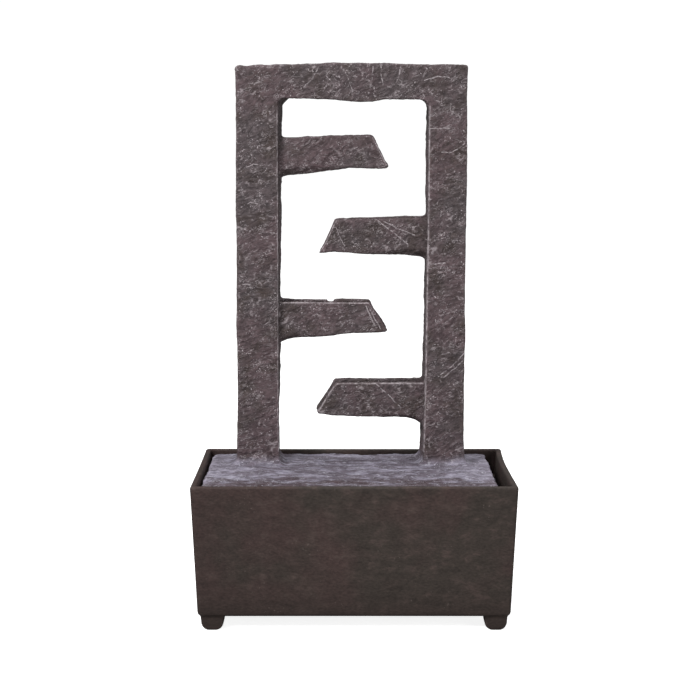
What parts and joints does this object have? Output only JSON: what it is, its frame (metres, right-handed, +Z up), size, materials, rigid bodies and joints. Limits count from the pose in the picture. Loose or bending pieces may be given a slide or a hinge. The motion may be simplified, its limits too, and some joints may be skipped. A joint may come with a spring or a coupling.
{
  "type": "tabletop water fountain",
  "caption": "Tabletop water fountain: a slate-look arch with alternating cascade troughs stands on a deck let into a rectangular basin with a pump inside.",
  "frame": {"origin": "under the middle of the basin, on the surface its feet stand on", "axes": "+X to the right and +Y to the back as the fountain faces the viewer, +Z up; the first trough leaves the left upright"},
  "size_m": [0.1998, 0.1198, 0.348],
  "materials": {
    "slate": "cast resin with a slate texture, dark brown-grey, dry-brushed silver on the ridges, matte",
    "deck_slate": "cast resin with a rough slate texture, violet grey with silver dry-brushing, matte",
    "basin_finish": "moulded shell with a matte, mottled dark brown stone-look finish",
    "pump_plastic": "black moulded plastic, fine matte texture",
    "impeller_plastic": "white moulded plastic",
    "slider_plastic": "dark grey moulded plastic",
    "rubber": "soft black rubber",
    "hose": "flexible dark vinyl hose, satin",
    "shaft_ceramic": "ground white ceramic",
    "core_iron": "stacked iron laminations, dull",
    "copper": "enamelled copper winding",
    "magnet": "dark sintered magnet, satin",
    "potting": "black potting resin, glossy"
  },
  "bodies": {
    "basin": {"basin_tub": "basin_finish", "pump_housing": "pump_plastic", "pump_outlet_nozzle": "pump_plastic", "pump_intake_cover": "pump_plastic", "pump_chamber_plate": "pump_plastic", "pump_seal_ring": "rubber", "rotor_shaft": "shaft_ceramic", "shaft_bush_front": "rubber", "shaft_bush_rear": "rubber", "stator_core": "core_iron", "stator_coil": "copper", "potting_compound": "potting", "suction_cup_front_left": "rubber", "suction_cup_front_right": "rubber", "suction_cup_rear_left": "rubber", "suction_cup_rear_right": "rubber", "pump_cable_gland": "rubber"},
    "rotor": {"impeller": "impeller_plastic", "rotor_magnet": "magnet"},
    "flow_slider": {"pump_flow_slider": "slider_plastic"},
    "sculpture": {"deck_casting": "deck_slate", "arch_casting": "slate", "hose_channel_cover": "slate", "first_trough": "slate", "second_trough": "slate", "third_trough": "slate", "fourth_trough": "slate", "riser_hose": "hose", "outlet_elbow": "pump_plastic"}
  },
  "joints": [
    {"name": "sculpture_lift", "type": "slide", "parent": "basin", "child": "sculpture", "axis": [0, 0, 1], "range_m": [0, 0.06]},
    {"name": "impeller_spin", "type": "hinge", "parent": "basin", "child": "rotor", "pos_m": [-0.06, 0.027, 0.0405], "axis": [1, 0, 0], "continuous": true},
    {"name": "flow_slide", "type": "slide", "parent": "basin", "child": "flow_slider", "axis": [0, 0, -1], "range_m": [0, 0.012]}
  ]
}
